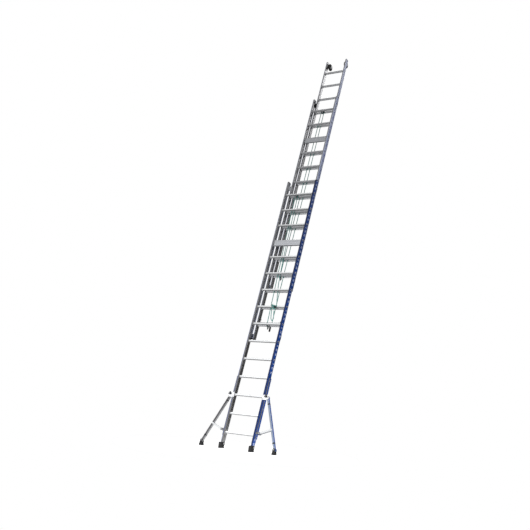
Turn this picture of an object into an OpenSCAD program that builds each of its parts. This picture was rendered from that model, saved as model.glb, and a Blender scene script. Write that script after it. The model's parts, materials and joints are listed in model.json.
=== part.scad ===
// Three-section rope-operated extension ladder, leaning, partly extended.
// Millimetres. +X is the climber's right, +Y the wall side, +Z up.
// The origin is on the floor, midway between the two base shoes.
// Inside lean() the axes are x, depth (towards the wall) and height along the stiles.

/* [Ladder] */
// Angle between the ladder and the vertical, degrees
lean_deg = 16; // [15:1:17]
// Distance from one rung to the next
rung_pitch = 280; // [270:5:290]
// Height along the stile of the lowest rung of the base section
first_rung = 230; // [225:5:240]
// Rungs in each section
rung_count = 15; // [15:1:16]
// Whole rungs that the middle section is raised by
middle_steps = 6; // [4:1:6]
// Whole rungs that the fly section is raised by, above the middle section
fly_steps = 3; // [3:1:4]
// Stile left below a section's lowest rung and above its highest one
stile_overhang = 225; // [220:1:230]
// Side of the square rungs
rung_side = 28; // [26:0.5:28]
// Wall of the rung tubes
rung_wall = 1.8; // [1.5:0.1:2.5]
// Wall of the stile tubes
stile_wall = 2; // [1.8:0.1:2]

/* [Base section] */
// Outside width of the base section
base_w = 540; // [536:1:544]
// Width of a base stile
base_stile_w = 27; // [26:0.5:27]
// Depth of a base stile
base_stile_d = 66; // [64:1:66]

/* [Middle section] */
// Outside width of the middle section
middle_w = 456; // [454:1:458]
// Width of a middle stile
middle_stile_w = 25; // [24:0.5:25]
// Depth of a middle stile
middle_stile_d = 62; // [60:1:62]
// Depth of the middle section's centre behind the base section's
middle_depth = 67; // [67:0.5:68]

/* [Fly section] */
// Outside width of the fly section
fly_w = 396; // [394:1:396]
// Width of a fly stile
fly_stile_w = 24; // [23:0.5:24]
// Depth of a fly stile
fly_stile_d = 58; // [56:1:58]
// Depth of the fly section's centre behind the base section's
fly_depth = 130; // [130:0.5:131]

/* [Stabilisers] */
// Distance of a leg's pivots from the ladder's centre line
stay_x = 325; // [323:1:328]
// Height of the leg's upper pivot, legs spread
leg_top = 780; // [760:5:790]
// Distance of a stabiliser foot's pivot from the centre line, legs spread
foot_x = 624; // [600:5:650]
// Height of a stabiliser foot's pivot, legs spread
foot_pivot = 68; // [66:1:72]
// Height of the strut's lower pivot
strut_pivot = 265; // [260:1:270]
// Share of the leg between its upper pivot and the strut
strut_share = 0.62; // [0.58:0.01:0.64]
// In-plane width of a leg tube
leg_w = 30; // [28:1:32]
// Depth of a leg tube
leg_d = 34; // [32:1:34]

/* [Ropes and pulleys] */
// Diameter of the ropes
rope_d = 12; // [10:0.5:12]
// Radius at the middle of the rope in a pulley's groove
rope_ring = 26; // [25.9:0.1:26.5]

/* [Wall wheels] */
// Diameter of a wall wheel
wheel_d = 120; // [110:5:125]
// Width of a wall wheel
wheel_w = 28; // [24:1:28]

/* [Hidden] */

eps = 0.01;
sliding_gap = 0.6;
running_gap = 0.06;
rope_r = rope_d / 2;
half_rung = rung_side / 2;
stile_len = (rung_count - 1) * rung_pitch + 2 * stile_overhang;
base_bottom = 45;
base_top = first_rung + (rung_count - 1) * rung_pitch + stile_overhang;
middle_first = first_rung + middle_steps * rung_pitch;
fly_first = middle_first + fly_steps * rung_pitch;
base_inner = base_w / 2 - base_stile_w;
middle_inner = middle_w / 2 - middle_stile_w;
fly_inner = fly_w / 2 - fly_stile_w;
// Slot along the back of a stile, which the next section's glide runs in
slot_mouth = 9;
slot_lip = 2.5;
slot_w = 15;
slot_h = 6;
// Groove along the outer face of a stile, which the guide tongue runs in
groove_w = 9;
groove_h = 5;
// Hinged hooks
hook_shaft_r = 6;
hook_rise = 38;
hook_forward = 17;
hook_plate = 8;
hook_stored = 130;
lug_t = 6;
// Pulleys: channel between two rung planes
sheave_r = 30;
sheave_w = 18;
cheek_t = 3;
axle_r = 5;
base_channel = middle_depth / 2 - 4;
middle_channel = (middle_depth + fly_depth) / 2;
base_pulley_x = -77;
middle_pulley_x = -20;
base_pulley_u = first_rung + (rung_count - 1) * rung_pitch;
middle_pulley_u = middle_first + (rung_count - 1) * rung_pitch;
// Shoes
shoe_pivot = 62;
shoe_pin_r = 6;
shoe_front = -50;
shoe_back = 30;
sole_h = 24;
// Stabiliser linkage
leg_dx = foot_x - stay_x;
leg_dz = leg_top - foot_pivot;
leg_len = sqrt(leg_dx * leg_dx + leg_dz * leg_dz);
leg_angle = atan2(leg_dx, leg_dz);
strut_dx = strut_share * leg_dx;
strut_dz = leg_top - strut_share * leg_dz - strut_pivot;
strut_len = sqrt(strut_dx * strut_dx + strut_dz * strut_dz);
strut_angle = atan2(strut_dx, strut_dz);
strap_t = 4;
strap_w = 24;
strap_gap = 0.6;
rail_d = 34;
rail_t = 20;
rail_wall = 2;
rail_bottom = 178;
rail_top = 1070;
pivot_r = 5;
plate_t = 4;
// Cleat on the base section's eighth rung
cleat_x = 63;
cleat_u = first_rung + 7 * rung_pitch;
// Wall wheels
wheel_x = fly_inner - 6 - wheel_w / 2;
wheel_depth = fly_depth + 54;
wheel_u = fly_first + (rung_count - 1) * rung_pitch + 175;
wheel_axle_r = 8;

// Rope routes inside lean(): x, depth, height. Round numbers chosen by hand.
middle_fall_route = [[-51, 29.5, 4150], [-47, 29.5, 3860], [-43, 29.5, 3570],
    [-37, 29.5, 3280], [-27, 29.5, 2990], [-10, 29.5, 2700], [2, 29.5, 2560], [14, 26, 2495],
    [32, 16, 2430], [52, 0, 2360], [74, -14, 2290], [90, -23, 2235], [97, -28, 2200],
    [98, -28, 2150]];
middle_lift_route = [[-103, 29.5, 4145.5], [-84.3, 29.5, 3600], [-65.6, 29.5, 3050],
    [-46.9, 29.5, 2500], [-28, 29.5, 1946]];
fly_fall_route = [[6, 98.5, 5830], [6, 98.5, 4860], [6, 98.5, 3890], [6, 98.5, 2930],
    [6, 98.5, 1960]];
fly_lift_route = [[-46, 98.5, 5825.5], [-49, 98.5, 5070], [-52, 98.5, 4310], [-55, 98.5, 3550],
    [-58, 98.5, 2788]];
// The tail hangs plumb: x, y, z from the point where it leaves the cleat
tail_start = [28, -28, 2150];
tail_route = [[0, 0, 0], [-1, 0, -30], [-2, 0, -60], [-3, 0, -90], [-3, 0, -120], [-2, 0, -140],
    [2, 0, -160], [10, 0, -174], [20, 0, -180], [30, 0, -174], [38, 0, -160], [42, 0, -140],
    [43, 0, -120], [42, 0, -90], [41, 0, -60], [40, 0, -30]];

// ---------- helpers ----------
module lean() {
    rotate([-lean_deg, 0, 0]) children();
}

function lean_y(depth, up) = depth * cos(lean_deg) + up * sin(lean_deg);
function lean_z(depth, up) = up * cos(lean_deg) - depth * sin(lean_deg);

module both_sides() {
    children();
    mirror([1, 0, 0]) children();
}

// Copy for the right side, or mirrored for the left
module on_side(side) {
    if (side > 0) children();
    else mirror([1, 0, 0]) children();
}

// Rectangle with round corners, centred
module round_rect(w, h, r) {
    square([w - 2 * r, h], center = true);
    square([w, h - 2 * r], center = true);
    for (sx = [-1, 1], sy = [-1, 1])
        translate([sx * (w / 2 - r), sy * (h / 2 - r)]) circle(r = r, $fn = 24);
}

// Cylinder along x
module rod_x(r, x0, x1) {
    translate([x0, 0, 0]) rotate([0, 90, 0]) cylinder(r = r, h = x1 - x0, $fn = 48);
}

// Cylinder along depth
module rod_y(r, y0, y1) {
    translate([0, y1, 0]) rotate([90, 0, 0]) cylinder(r = r, h = y1 - y0, $fn = 48);
}

// Box between two corners
module span(a, b) {
    translate(a) cube(b - a);
}

// Tube swept along points that lie in planes of constant depth, or nearly so
function unit(v) = v / norm(v);
function tangent(p, i) =
    i == 0 ? unit(p[1] - p[0]) :
    i == len(p) - 1 ? unit(p[i] - p[i - 1]) :
    unit(unit(p[i] - p[i - 1]) + unit(p[i + 1] - p[i]));
function ring(p, i, r, n) =
    let (t = tangent(p, i),
         a = unit(cross(t, [0, 1, 0])),
         b = cross(t, a))
    [for (k = [0:n - 1]) p[i] + r * (cos(360 * k / n) * a + sin(360 * k / n) * b)];

module swept(p, r, n = 8) {
    last = len(p) - 1;
    points = [for (i = [0:last]) each ring(p, i, r, n)];
    sides = [for (i = [0:last - 1], k = [0:n - 1])
        [i * n + k, i * n + (k + 1) % n, (i + 1) * n + (k + 1) % n, (i + 1) * n + k]];
    start = [[for (k = [0:n - 1]) n - 1 - k]];
    end = [[for (k = [0:n - 1]) last * n + k]];
    polyhedron(points = points, faces = concat(start, sides, end));
}

// Half turn over a pulley from its left side to its right side, with a short straight start
function over_pulley(x, depth, up) =
    concat([[x - rope_ring, depth, up - 4]],
           [for (a = [180:-20:20]) [x + rope_ring * cos(a), depth, up + rope_ring * sin(a)]]);

// ---------- section parts ----------
// Closed tube, outer face towards +x, back face towards +y
module stile_profile(w, d, slotted, grooved) {
    difference() {
        round_rect(w, d, 3);
        difference() {
            translate([-w / 2 + stile_wall, -d / 2 + stile_wall])
                square([w - 2 * stile_wall, d - 2 * stile_wall]);
            if (slotted)
                translate([-w / 2, d / 2 - slot_lip - slot_h - stile_wall])
                    square([w, slot_lip + slot_h + stile_wall]);
            if (grooved)
                translate([w / 2 - groove_h - stile_wall, -groove_w / 2 - stile_wall])
                    square([groove_h + stile_wall, groove_w + 2 * stile_wall]);
        }
        if (slotted) {
            translate([-slot_mouth / 2, d / 2 - slot_lip - eps])
                square([slot_mouth, slot_lip + 1]);
            translate([-slot_w / 2, d / 2 - slot_lip - slot_h])
                square([slot_w, slot_h]);
        }
        if (grooved)
            translate([w / 2 - groove_h, -groove_w / 2]) square([groove_h + 1, groove_w]);
    }
}

module stile(total_w, w, d, depth, bottom, top, side, slotted, grooved) {
    lean() on_side(side) translate([total_w / 2 - w / 2, depth, bottom])
        linear_extrude(top - bottom) stile_profile(w, d, slotted, grooved);
}

// Square tube with a ribbed tread on top, along x
module rung(half_len) {
    rotate([90, 0, 90]) translate([0, 0, -half_len]) linear_extrude(2 * half_len)
        difference() {
            round_rect(rung_side, rung_side, 4);
            square(rung_side - 2 * rung_wall, center = true);
            for (k = [-2:2])
                translate([k * 3.6 - 0.8, half_rung - 0.8]) square([1.6, 1.6]);
        }
}

module rungs(half_len, depth, first) {
    lean() for (k = [0:rung_count - 1])
        translate([0, depth, first + k * rung_pitch]) rung(half_len);
}

// Plastic cap with a crowned top, on both stiles of a section
module top_caps(total_w, w, d, depth, top) {
    lean() both_sides() translate([total_w / 2 - w / 2, depth, top]) {
        linear_extrude(9) round_rect(w, d, 3);
        translate([0, 0, 9]) linear_extrude(5) round_rect(w - 6, d - 8, 3);
        translate([0, 0, 14]) linear_extrude(3) round_rect(w - 12, d - 20, 3);
    }
}

// Plastic foot of a raised section: closes the stile and runs in the slot in front
module glide(total_w, w, d, depth, bottom, front_face, slot_x) {
    outer = total_w / 2;
    block_h = 70;
    translate([outer - w / 2, depth, bottom - 10]) linear_extrude(10) round_rect(w, d, 3);
    translate([outer - w / 2, depth, bottom - 14]) linear_extrude(4) round_rect(w - 6, d - 14, 3);
    difference() {
        span([outer, front_face + sliding_gap, bottom - 10],
             [slot_x + 9, depth - d / 2 + 18, bottom + block_h]);
        translate([slot_x + 9, depth - d / 2 + 18, bottom - 11])
            rotate(45) cube([14, 14, 200], center = true);
    }
    span([slot_x - slot_mouth / 2 + sliding_gap, front_face - slot_lip - 1, bottom],
         [slot_x + slot_mouth / 2 - sliding_gap, front_face + sliding_gap + eps, bottom + block_h]);
    span([slot_x - slot_w / 2 + sliding_gap, front_face - slot_lip - slot_h + sliding_gap, bottom],
         [slot_x + slot_w / 2 - sliding_gap, front_face - slot_lip - sliding_gap, bottom + block_h]);
}

// Bearing bosses for a hook shaft, on the inner faces of the stiles
module hook_lugs(inner, depth, first) {
    lean() both_sides() translate([0, depth - hook_forward, first + hook_rise])
        difference() {
            union() {
                rod_x(12, inner - lug_t, inner);
                span([inner - 3, -12, -hook_rise + half_rung + 0.5], [inner, 12, 0]);
            }
            rod_x(hook_shaft_r + running_gap, inner - lug_t - 1, inner + 1);
        }
}

// Outline of a hook as it sits over a rung: y is depth, z height, from its shaft
module hook_outline(reach) {
    rung_top = -hook_rise + half_rung + 0.5;
    difference() {
        union() {
            circle(r = 13, $fn = 48);
            polygon([[0, -7], [-reach - 22, -7], [-reach - 22, -46], [-reach - 16, -46],
                     [-reach - 16, rung_top], [-6, rung_top], [11, -6]]);
        }
        circle(r = hook_shaft_r + 0.02, $fn = 48);
    }
}

module hook_pair(inner, depth, first, reach) {
    lean() both_sides()
        translate([inner - lug_t - 1 - hook_plate, depth - hook_forward, first + hook_rise])
            rotate([-hook_stored, 0, 0])
                rotate([90, 0, 90]) linear_extrude(hook_plate) hook_outline(reach);
}

module hook_shaft(inner, depth, first) {
    lean() translate([0, depth - hook_forward, first + hook_rise])
        rod_x(hook_shaft_r, -inner + 0.3, inner - 0.3);
}

// Blank plate on the front of a rung, with four rivet heads
module label_plate(half_len, depth, up) {
    lean() translate([0, depth - half_rung, up]) {
        difference() {
            span([-half_len, -2, -100], [half_len, 0, 8]);
            for (sx = [-1, 1])
                translate([sx * (half_len - 18), 0, -82]) rod_y(4, -3, 1);
        }
        for (sx = [-1, 1])
            translate([sx * (half_len - 18), 0, 0]) rod_y(4, -3.6, -2);
    }
}

// Two cheeks, a saddle on the rung and the fixed axle of a pulley
module pulley_bracket(x, rung_depth, channel, up) {
    front = channel - sheave_w / 2 - 1;
    back = channel + sheave_w / 2 + 1;
    lean() translate([x, 0, up]) {
        for (y = [front - cheek_t, back]) translate([0, y, 0]) {
            rod_y(15, 0, cheek_t);
            span([-9, 0, -44], [9, cheek_t, 0]);
        }
        span([-22, rung_depth + half_rung, -12], [22, front - cheek_t, 12]);
        translate([0, 0, -38]) rod_y(5, front - eps, back + eps);
        rod_y(axle_r, front - eps, back + eps);
    }
}

module pulley_wheel(x, channel, up) {
    lean() translate([x, channel, up]) rotate([90, 0, 0]) difference() {
        rotate_extrude($fn = 72) difference() {
            translate([axle_r + running_gap, -sheave_w / 2])
                square([sheave_r - axle_r - running_gap, sheave_w]);
            translate([rope_ring, 0]) circle(r = rope_r + 0.4, $fn = 24);
            translate([rope_ring, -rope_r - 0.4]) square([10, 2 * rope_r + 0.8]);
        }
        for (a = [0:72:359]) rotate(a) translate([13, 0, -10]) cylinder(r = 3, h = 20, $fn = 24);
    }
}

// Two turns of rope and a hitch round a rung
module rope_knot(x, depth, up) {
    lean() translate([x, depth, up]) {
        for (sx = [-1, 1]) translate([sx * (rope_r + 0.1), 0, 0]) rotate([0, 90, 0])
            rotate_extrude($fn = 36) translate([24.6, 0]) circle(r = rope_r, $fn = 16);
        translate([0, 0, -30]) rod_x(8, -14, 14);
    }
}

// ---------- base section ----------
// Stile with the bores of the shoe pin
module base_stile(side) {
    difference() {
        stile(base_w, base_stile_w, base_stile_d, 0, base_bottom, base_top, side, true, false);
        lean() on_side(side) translate([0, 0, shoe_pivot])
            rod_x(shoe_pin_r, base_inner - 1, base_w / 2 + 1);
    }
}

module base_stile_left() { color("lightsteelblue") base_stile(-1); }

module base_stile_right() { color("royalblue") base_stile(1); }

module base_rungs() {
    color("gainsboro") rungs(base_inner, 0, first_rung);
}

module base_top_caps() {
    color("black") top_caps(base_w, base_stile_w, base_stile_d, 0, base_top);
}

// Plates that hold the liners beside the middle stiles
module base_guides() {
    low = base_top - 120;
    color("silver") lean() both_sides() {
        span([base_inner - plate_t, -22, low], [base_inner, middle_depth + 24, low + 80]);
        span([middle_inner + 3, middle_depth - middle_stile_d / 2 - 4.6, low],
             [base_inner - plate_t, middle_depth - middle_stile_d / 2 - sliding_gap, low + 80]);
        for (dz = [18, 62]) translate([0, -8, low + dz])
            rod_x(6, base_inner - plate_t - 4, base_inner - plate_t);
    }
}

// Plastic strips with a tongue in the groove of the middle stiles
module base_guide_liners() {
    low = base_top - 115;
    outer = middle_w / 2;
    color("black") lean() both_sides() {
        span([outer + sliding_gap, middle_depth - 22, low],
             [base_inner - plate_t, middle_depth + 22, low + 70]);
        span([outer - groove_h + sliding_gap, middle_depth - groove_w / 2 + sliding_gap, low],
             [outer + sliding_gap + eps, middle_depth + groove_w / 2 - sliding_gap, low + 70]);
    }
}

module base_label_plate() {
    color("whitesmoke") label_plate(base_inner - 3, 0, first_rung + 11 * rung_pitch);
}

module base_pulley_bracket() {
    color("silver") pulley_bracket(base_pulley_x, 0, base_channel, base_pulley_u);
}

module base_pulley_wheel() {
    color("black") pulley_wheel(base_pulley_x, base_channel, base_pulley_u);
}

// Pins through the lower ends of the base stiles
module base_shoe_pins() {
    color("silver") lean() both_sides() translate([0, 0, shoe_pivot]) {
        rod_x(shoe_pin_r, base_inner - 9, base_w / 2 + 9);
        rod_x(10, base_inner - 12, base_inner - 7.2);
        rod_x(10, base_w / 2 + 7.2, base_w / 2 + 12);
    }
}

// Rubber boot: cheeks and a toe wall round the foot of the stile, over a level ribbed sole
module base_shoe(side) {
    cheek = 6;
    px = base_w / 2 - base_stile_w / 2;
    half = base_stile_w / 2 + sliding_gap;
    edge = half + cheek + 2;
    pivot_y = lean_y(0, shoe_pivot);
    pivot_z = lean_z(0, shoe_pivot);
    toe_top = pivot_z + 25;
    color("dimgray") on_side(side) difference() {
        union() {
            for (s = [-1, 1]) translate([px + s * (half + cheek / 2), 0, 0])
                rotate([90, 0, 90]) translate([0, 0, -cheek / 2]) linear_extrude(cheek)
                    polygon([[shoe_front + 2, sole_h - 1], [shoe_back - 2, sole_h - 1],
                             [pivot_y + 26, pivot_z - 16], [pivot_y + 29, pivot_z + 10],
                             [pivot_y + 20, pivot_z + 25], [shoe_front + 18, toe_top],
                             [shoe_front + 8, toe_top - 6]]);
            translate([px - edge, shoe_front, 4])
                cube([2 * edge, shoe_back - shoe_front, sole_h - 4]);
            translate([px, 0, 0]) rotate([90, 0, 90]) translate([0, 0, -edge])
                linear_extrude(2 * edge)
                    polygon([[shoe_front, sole_h - 1], [shoe_front + 22, sole_h - 1],
                             [shoe_front + 24, toe_top], [shoe_front + 14, toe_top],
                             [shoe_front + 6, toe_top - 7]]);
            for (k = [0:5])
                translate([px - edge, shoe_front + k * 14.4, 0]) cube([2 * edge, 8, 4.5]);
        }
        translate([px, pivot_y, pivot_z]) rod_x(shoe_pin_r + running_gap, -40, 40);
    }
}

module base_shoe_left() { base_shoe(-1); }

module base_shoe_right() { base_shoe(1); }

// Horn cleat on the front of the eighth rung, tilted down to the right
module rope_cleat() {
    front = -half_rung;
    color("black") lean() translate([cleat_x, 0, cleat_u]) {
        span([-14, front - 8, -13], [14, front, 13]);
        translate([0, 0, -12]) {
            rod_y(8, front - 26, front - 7);
            translate([0, front - 29, 0]) rotate([0, 115, 0]) {
                translate([0, 0, -48]) cylinder(r = 8, h = 96, $fn = 32);
                for (z = [-48, 48]) translate([0, 0, z]) sphere(r = 8, $fn = 32);
            }
        }
    }
}

module middle_rope_lift() {
    color("teal") lean() swept(middle_lift_route, rope_r);
}

module middle_rope_fall() {
    color("teal") lean()
        swept(concat(over_pulley(base_pulley_x, base_channel, base_pulley_u),
                     middle_fall_route), rope_r);
}

module middle_rope_tail() {
    start = [tail_start[0], lean_y(tail_start[1], tail_start[2]),
             lean_z(tail_start[1], tail_start[2])];
    color("teal") translate(start) swept(tail_route, rope_r);
}

// ---------- stabilisers ----------
// Rails on the outer faces of the base stiles, with a fork for the strut
module stabiliser_rails() {
    inner = leg_d / 2 + strap_gap + strap_t + strap_gap;
    color("royalblue") lean() both_sides() {
        translate([base_w / 2, 0, rail_bottom]) {
            difference() {
                span([0, -rail_d / 2, 17], [rail_t, rail_d / 2, rail_top - rail_bottom]);
                span([rail_wall, -rail_d / 2 + rail_wall, 20],
                     [rail_t - rail_wall, rail_d / 2 - rail_wall, rail_top - rail_bottom - 3]);
            }
            intersection() {
                translate([0, 0, 17]) rod_x(rail_d / 2, 0, rail_t);
                span([-1, -rail_d / 2, 0], [rail_t + 1, rail_d / 2, 18]);
            }
        }
        for (s = [-1, 1]) difference() {
            union() {
                span([base_w / 2, s > 0 ? inner : -inner - plate_t, strut_pivot - 16],
                     [stay_x, s > 0 ? inner + plate_t : -inner, strut_pivot + 16]);
                translate([stay_x, 0, strut_pivot])
                    rod_y(16, s > 0 ? inner : -inner - plate_t, s > 0 ? inner + plate_t : -inner);
                span([base_w / 2, s > 0 ? rail_d / 2 - eps : -inner - eps, strut_pivot - 16],
                     [base_w / 2 + rail_t, s > 0 ? inner + eps : -rail_d / 2 + eps,
                      strut_pivot + 16]);
            }
            translate([stay_x, 0, strut_pivot]) rod_y(pivot_r, -40, 40);
        }
    }
}

// Short pins of the struts, one through each arm of the fork
module strut_pins() {
    inner = leg_d / 2 + strap_gap;
    color("silver") lean() both_sides() translate([stay_x, 0, strut_pivot]) for (s = [0, 180])
        rotate([0, 0, s]) {
            rod_y(pivot_r, inner, inner + 13);
            rod_y(9, inner + strap_t + strap_gap + plate_t, inner + 14);
        }
}

// Bracket that slides on the rail and carries the leg
module stabiliser_slider(side) {
    inner = rail_d / 2 + 0.5;
    web = base_w / 2 + rail_t + sliding_gap;
    low = leg_top - 30;
    high = leg_top + 30;
    front = -base_stile_d / 2 - 1;
    color("gainsboro") lean() on_side(side) difference() {
        union() {
            for (s = [-1, 1]) {
                span([base_w / 2 + 1, s > 0 ? inner : -inner - plate_t, low],
                     [stay_x, s > 0 ? inner + plate_t : -inner, high]);
                translate([stay_x, 0, leg_top])
                    rod_y(20, s > 0 ? inner : -inner - plate_t, s > 0 ? inner + plate_t : -inner);
            }
            span([web, -inner - 1, low], [web + plate_t, inner + 1, high]);
            span([base_w / 2 + 4, front - 1, low + 4], [base_w / 2 + 30, -inner - 1, high - 4]);
            span([base_inner + 2, front - plate_t, low - 6], [stay_x + 14, front, high + 6]);
        }
        translate([stay_x, 0, leg_top]) rod_y(pivot_r, -30, 30);
    }
}

module stabiliser_slider_left() { stabiliser_slider(-1); }

module stabiliser_slider_right() { stabiliser_slider(1); }

// Bolt through the slider and the top of the leg
module slider_bolt(side) {
    edge = rail_d / 2 + 0.5 + plate_t;
    color("silver") lean() on_side(side) translate([stay_x, 0, leg_top]) {
        rod_y(pivot_r, -edge - 4, edge + 6);
        rod_y(9, -edge - 6, -edge);
        rotate([90, 0, 0]) translate([0, 0, -edge - 6]) cylinder(r = 9, h = 6, $fn = 6);
    }
}

module slider_bolt_left() { slider_bolt(-1); }

module slider_bolt_right() { slider_bolt(1); }

// Three-lobed clamp knob in front of the slider
module clamp_knob(side) {
    face = -base_stile_d / 2 - 1 - plate_t - 0.4;
    color("black") lean() on_side(side) translate([base_w / 2 + 40, 0, leg_top + 12]) {
        rod_y(10, face - 9, face);
        rod_y(18, face - 24, face - 8);
        for (a = [90, 210, 330]) rotate([0, -a, 0]) translate([17, 0, 0])
            rod_y(8, face - 22, face - 11);
    }
}

module clamp_knob_left() { clamp_knob(-1); }

module clamp_knob_right() { clamp_knob(1); }

// Places the leg's own frame: origin at its top pivot, leg towards -z
module leg_frame(side) {
    lean() on_side(side) translate([stay_x, 0, leg_top])
        rotate([0, -leg_angle, 0]) children();
}

module stabiliser_leg(side) {
    above = 16;
    below = 16;
    color("royalblue") leg_frame(side) {
        difference() {
            translate([0, 0, -leg_len - below]) linear_extrude(leg_len + above + below)
                difference() {
                    round_rect(leg_w, leg_d, 3);
                    square([leg_w - 2 * stile_wall, leg_d - 2 * stile_wall], center = true);
                }
            rod_y(pivot_r + running_gap, -30, 30);
        }
        translate([0, 0, -leg_len]) {
            rod_y(pivot_r, -leg_d / 2 - 8, leg_d / 2 + 8);
            for (s = [0, 180]) rotate([0, 0, s]) rod_y(9, leg_d / 2 + 6.5, leg_d / 2 + 10);
        }
    }
}

module stabiliser_leg_left() { stabiliser_leg(-1); }

module stabiliser_leg_right() { stabiliser_leg(1); }

// Plastic plug in the top of the leg
module leg_cap(side) {
    color("black") leg_frame(side) {
        translate([0, 0, 16]) linear_extrude(5) round_rect(leg_w, leg_d, 3);
        translate([0, 0, 8]) linear_extrude(8 + eps)
            square([leg_w - 2 * stile_wall - 0.4, leg_d - 2 * stile_wall - 0.4], center = true);
    }
}

module leg_cap_left() { leg_cap(-1); }

module leg_cap_right() { leg_cap(1); }

// Two straps from the fork on the rail to the leg, with rivet heads on the leg's end
module stabiliser_strut(side) {
    inner = leg_d / 2 + strap_gap;
    color("silver") lean() on_side(side) translate([stay_x, 0, strut_pivot])
        rotate([0, strut_angle, 0]) for (s = [0, 180]) rotate([0, 0, s]) {
            difference() {
                union() {
                    span([-strap_w / 2, inner, 0], [strap_w / 2, inner + strap_t, strut_len]);
                    rod_y(strap_w / 2, inner, inner + strap_t);
                    translate([0, 0, strut_len]) rod_y(strap_w / 2, inner, inner + strap_t);
                }
                rod_y(pivot_r + running_gap, 0, 40);
            }
            translate([0, 0, strut_len]) rod_y(8, inner + strap_t - eps, inner + strap_t + 5);
        }
}

module stabiliser_strut_left() { stabiliser_strut(-1); }

module stabiliser_strut_right() { stabiliser_strut(1); }

// Rubber foot: cheeks round the end of the leg and a level ribbed sole
module stabiliser_foot(side) {
    cheek = 5;
    inner = leg_d / 2 + sliding_gap;
    half_x = 23;
    rib = 10;
    front = lean_y(0, foot_pivot) - 40;
    back = lean_y(0, foot_pivot) + 20;
    color("dimgray") on_side(side) difference() {
        union() {
            lean() translate([foot_x, 0, foot_pivot]) for (s = [-1, 1])
                translate([0, s > 0 ? inner + cheek : -inner, 0]) rotate([90, 0, 0])
                    linear_extrude(cheek)
                        polygon([[-half_x + 1, -54], [half_x - 1, -54], [half_x - 1, 6],
                                 [13, 19], [-13, 19], [-half_x + 1, 6]]);
            translate([foot_x - half_x, front, 4])
                cube([2 * half_x, back - front, sole_h - 4]);
            for (k = [-1:1])
                translate([foot_x + k * (half_x - rib / 2) - rib / 2, front, 0])
                    cube([rib, back - front, 4.5]);
        }
        lean() translate([foot_x, 0, foot_pivot]) rod_y(pivot_r + running_gap, -40, 40);
    }
}

module stabiliser_foot_left() { stabiliser_foot(-1); }

module stabiliser_foot_right() { stabiliser_foot(1); }

// ---------- middle section ----------
module middle_stile(side) {
    stile(middle_w, middle_stile_w, middle_stile_d, middle_depth,
          middle_first - stile_overhang, middle_first - stile_overhang + stile_len,
          side, true, true);
}

module middle_stile_left() { color("lightsteelblue") middle_stile(-1); }

module middle_stile_right() { color("royalblue") middle_stile(1); }

module middle_rungs() {
    color("lightgray") rungs(middle_inner, middle_depth, middle_first);
}

module middle_top_caps() {
    color("black") top_caps(middle_w, middle_stile_w, middle_stile_d, middle_depth,
                            middle_first - stile_overhang + stile_len);
}

module middle_glides() {
    color("black") lean() both_sides()
        glide(middle_w, middle_stile_w, middle_stile_d, middle_depth,
              middle_first - stile_overhang, base_stile_d / 2, base_w / 2 - base_stile_w / 2);
}

// Plates with a tongue in the groove of the fly stiles
module middle_guides() {
    low = middle_first - stile_overhang + stile_len - 120;
    outer = fly_w / 2;
    plate = middle_inner - plate_t;
    color("black") lean() both_sides() {
        span([plate, middle_depth - 10, low], [middle_inner, fly_depth + 22, low + 80]);
        span([outer - groove_h + sliding_gap, fly_depth - groove_w / 2 + sliding_gap, low],
             [plate + eps, fly_depth + groove_w / 2 - sliding_gap, low + 80]);
        span([fly_inner + 4, fly_depth - fly_stile_d / 2 - 4.6, low],
             [plate + eps, fly_depth - fly_stile_d / 2 - sliding_gap, low + 80]);
    }
}

module middle_label_plate() {
    color("whitesmoke") label_plate(middle_inner - 3, middle_depth, middle_first + 12 * rung_pitch);
}

module middle_pulley_bracket() {
    color("silver") pulley_bracket(middle_pulley_x, middle_depth, middle_channel, middle_pulley_u);
}

module middle_pulley_wheel() {
    color("black") pulley_wheel(middle_pulley_x, middle_channel, middle_pulley_u);
}

module middle_hook_lugs() {
    color("silver") hook_lugs(middle_inner, middle_depth, middle_first);
}

module middle_hooks() {
    color("darkgray") hook_pair(middle_inner, middle_depth, middle_first,
                                middle_depth - hook_forward);
}

module middle_hook_shaft() {
    color("silver") hook_shaft(middle_inner, middle_depth, middle_first);
}

module middle_rope_knot() {
    color("teal") rope_knot(-28, middle_depth, middle_first);
}

module fly_rope_lift() {
    color("teal") lean() swept(fly_lift_route, rope_r);
}

module fly_rope_fall() {
    color("teal") lean()
        swept(concat(over_pulley(middle_pulley_x, middle_channel, middle_pulley_u),
                     fly_fall_route), rope_r);
}

// Sprung hook round the middle section's lowest rung, which ends the fly rope
module fly_rope_hook() {
    color("black") lean() translate([6, middle_depth, middle_first]) {
        rotate([0, 90, 0]) rotate_extrude($fn = 36) translate([24, 0]) circle(r = 4, $fn = 16);
        translate([0, 17, -80]) cylinder(r = 13, h = 62, $fn = 32);
        translate([0, 17, -80]) sphere(r = 13, $fn = 32);
    }
}

// ---------- fly section ----------
module fly_stile(side) {
    stile(fly_w, fly_stile_w, fly_stile_d, fly_depth,
          fly_first - stile_overhang, fly_first - stile_overhang + stile_len,
          side, false, true);
}

module fly_stile_left() { color("lightsteelblue") fly_stile(-1); }

module fly_stile_right() { color("royalblue") fly_stile(1); }

module fly_rungs() {
    color("lightgray") rungs(fly_inner, fly_depth, fly_first);
}

module fly_top_caps() {
    color("black") top_caps(fly_w, fly_stile_w, fly_stile_d, fly_depth,
                            fly_first - stile_overhang + stile_len);
}

module fly_glides() {
    color("black") lean() both_sides()
        glide(fly_w, fly_stile_w, fly_stile_d, fly_depth, fly_first - stile_overhang,
              middle_depth + middle_stile_d / 2, middle_w / 2 - middle_stile_w / 2);
}

module fly_hook_lugs() {
    color("silver") hook_lugs(fly_inner, fly_depth, fly_first);
}

module fly_hooks() {
    color("darkgray") hook_pair(fly_inner, fly_depth, fly_first,
                                fly_depth - hook_forward - middle_depth);
}

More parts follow.
